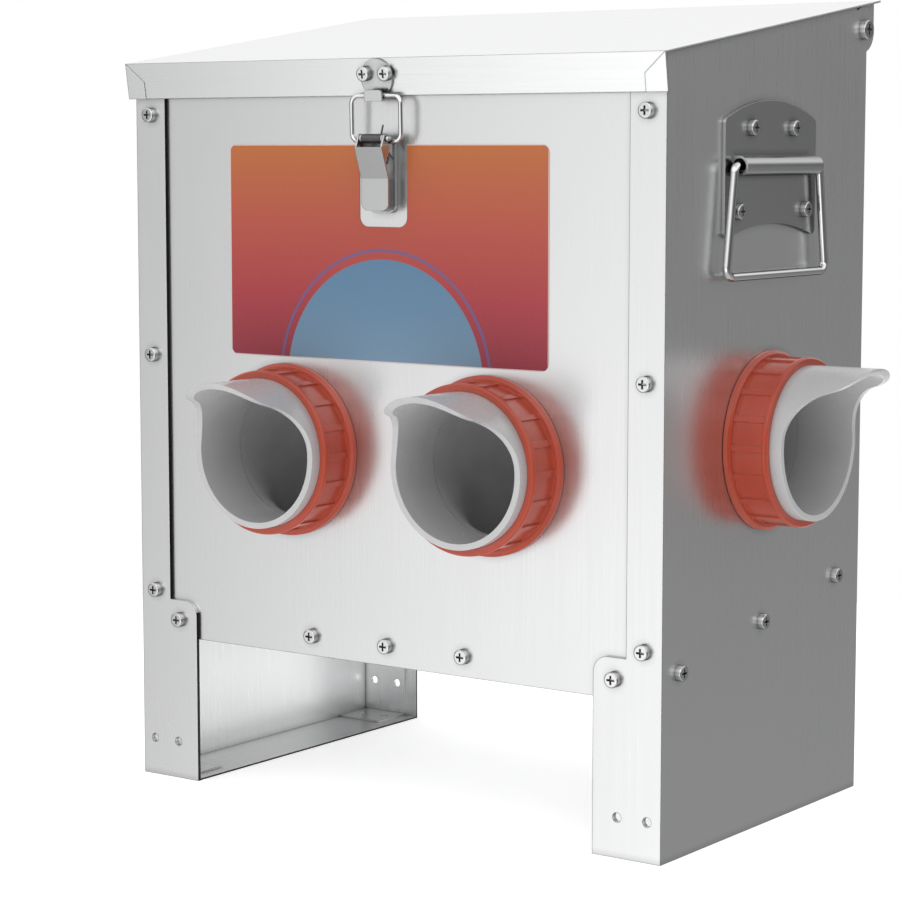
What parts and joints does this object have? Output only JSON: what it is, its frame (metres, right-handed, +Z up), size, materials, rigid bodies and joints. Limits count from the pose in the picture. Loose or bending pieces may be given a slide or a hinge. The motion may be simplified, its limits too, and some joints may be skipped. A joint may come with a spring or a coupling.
{
  "type": "gravity poultry feeder",
  "caption": "Sheet-metal gravity poultry feeder: box hopper with sloping hinged lid, draw latch, drop handles and screw-ring feeding spouts with raised bills.",
  "frame": {"origin": "centre of the bounding box on the plane the feet rest on", "axes": "+X to the viewer's right when facing the front, +Y to the rear, +Z up"},
  "size_m": [0.4496, 0.266, 0.4159],
  "materials": {
    "galvanised_sheet": "bright galvanised, fine brushed",
    "zinc_fasteners": "bright zinc plated",
    "chrome_steel": "polished chrome plate",
    "nickel_steel": "nickel plated, satin",
    "spring_steel": "blackened spring steel",
    "orange_plastic": "semi-gloss moulded",
    "white_plastic": "semi-gloss moulded",
    "grey_plastic": "matte moulded",
    "label_film": "printed film, semi-gloss"
  },
  "bodies": {
    "housing": {"elbow_front_left": "grey_plastic", "elbow_front_right": "grey_plastic", "elbow_side_left": "grey_plastic", "elbow_side_right": "grey_plastic", "foot_bracket_front_left": "galvanised_sheet", "foot_bracket_front_right": "galvanised_sheet", "foot_bracket_rear_left": "galvanised_sheet", "foot_bracket_rear_right": "galvanised_sheet", "front_flange_nuts": "zinc_fasteners", "front_flange_screws": "zinc_fasteners", "front_floor_nuts": "zinc_fasteners", "front_floor_screws": "zinc_fasteners", "front_label": "label_film", "front_leg_nuts": "zinc_fasteners", "front_leg_screws": "zinc_fasteners", "front_panel": "galvanised_sheet", "handle_nuts_left": "zinc_fasteners", "handle_nuts_right": "zinc_fasteners", "handle_plate_left": "chrome_steel", "handle_plate_right": "chrome_steel", "handle_screws_left": "zinc_fasteners", "handle_screws_right": "zinc_fasteners", "hopper_floor": "galvanised_sheet", "latch_base": "nickel_steel", "latch_pin": "nickel_steel", "latch_rivets": "zinc_fasteners", "latch_spring": "spring_steel", "left_side_panel": "galvanised_sheet", "lid_pivot_nuts": "zinc_fasteners", "lid_pivot_screws": "zinc_fasteners", "rear_flange_nuts": "zinc_fasteners", "rear_flange_screws": "zinc_fasteners", "rear_floor_nuts": "zinc_fasteners", "rear_floor_screws": "zinc_fasteners", "rear_leg_nuts": "zinc_fasteners", "rear_leg_screws": "zinc_fasteners", "rear_panel": "galvanised_sheet", "right_side_panel": "galvanised_sheet", "side_floor_nuts": "zinc_fasteners", "side_floor_screws": "zinc_fasteners", "spout_front_left": "white_plastic", "spout_front_right": "white_plastic", "spout_side_left": "white_plastic", "spout_side_right": "white_plastic"},
    "lid": {"catch_nuts": "zinc_fasteners", "catch_plate": "nickel_steel", "catch_screws": "zinc_fasteners", "lid": "galvanised_sheet"},
    "latch_lever": {"latch_lever": "nickel_steel"},
    "latch_bail": {"latch_bail": "nickel_steel"},
    "handle_right": {"handle_grip_right": "chrome_steel"},
    "handle_left": {"handle_grip_left": "chrome_steel"},
    "ring_front_left": {"ring_nut_front_left": "orange_plastic"},
    "ring_front_right": {"ring_nut_front_right": "orange_plastic"},
    "ring_side_right": {"ring_nut_side_right": "orange_plastic"},
    "ring_side_left": {"ring_nut_side_left": "orange_plastic"}
  },
  "joints": [
    {"name": "lid_hinge", "type": "hinge", "parent": "housing", "child": "lid", "pos_m": [0, 0.11925, 0.4005], "axis": [-1, 0, 0], "range_deg": [0, 95]},
    {"name": "latch_lever_hinge", "type": "hinge", "parent": "housing", "child": "latch_lever", "pos_m": [0, -0.08285, 0.3442], "axis": [-1, 0, 0], "range_deg": [0, 120], "stiffness_Nm_per_rad": 0.01, "springref_deg": -11.46},
    {"name": "latch_bail_hinge", "type": "hinge", "parent": "latch_lever", "child": "latch_bail", "pos_m": [0, -0.08015, 0.3429], "axis": [-1, 0, 0], "range_deg": [-135, 0]},
    {"name": "handle_right_hinge", "type": "hinge", "parent": "housing", "child": "handle_right", "pos_m": [0.17065, 0.02025, 0.3311], "axis": [0, -1, 0], "range_deg": [0, 90]},
    {"name": "handle_left_hinge", "type": "hinge", "parent": "housing", "child": "handle_left", "pos_m": [-0.17065, 0.02025, 0.3311], "axis": [0, 1, 0], "range_deg": [0, 90]},
    {"name": "ring_front_left_spin", "type": "hinge", "parent": "housing", "child": "ring_front_left", "pos_m": [-0.0632, -0.07325, 0.1845], "axis": [0, -1, 0], "continuous": true},
    {"name": "ring_front_right_spin", "type": "hinge", "parent": "housing", "child": "ring_front_right", "pos_m": [0.0632, -0.07325, 0.1845], "axis": [0, -1, 0], "continuous": true},
    {"name": "ring_side_right_spin", "type": "hinge", "parent": "housing", "child": "ring_side_right", "pos_m": [0.165, 0.02375, 0.1953], "axis": [1, 0, 0], "continuous": true},
    {"name": "ring_side_left_spin", "type": "hinge", "parent": "housing", "child": "ring_side_left", "pos_m": [-0.165, 0.02375, 0.1953], "axis": [-1, 0, 0], "continuous": true}
  ],
  "couplings": [
    {"joint": "latch_bail_hinge", "follows": "latch_lever_hinge", "ratio": -1.1}
  ]
}
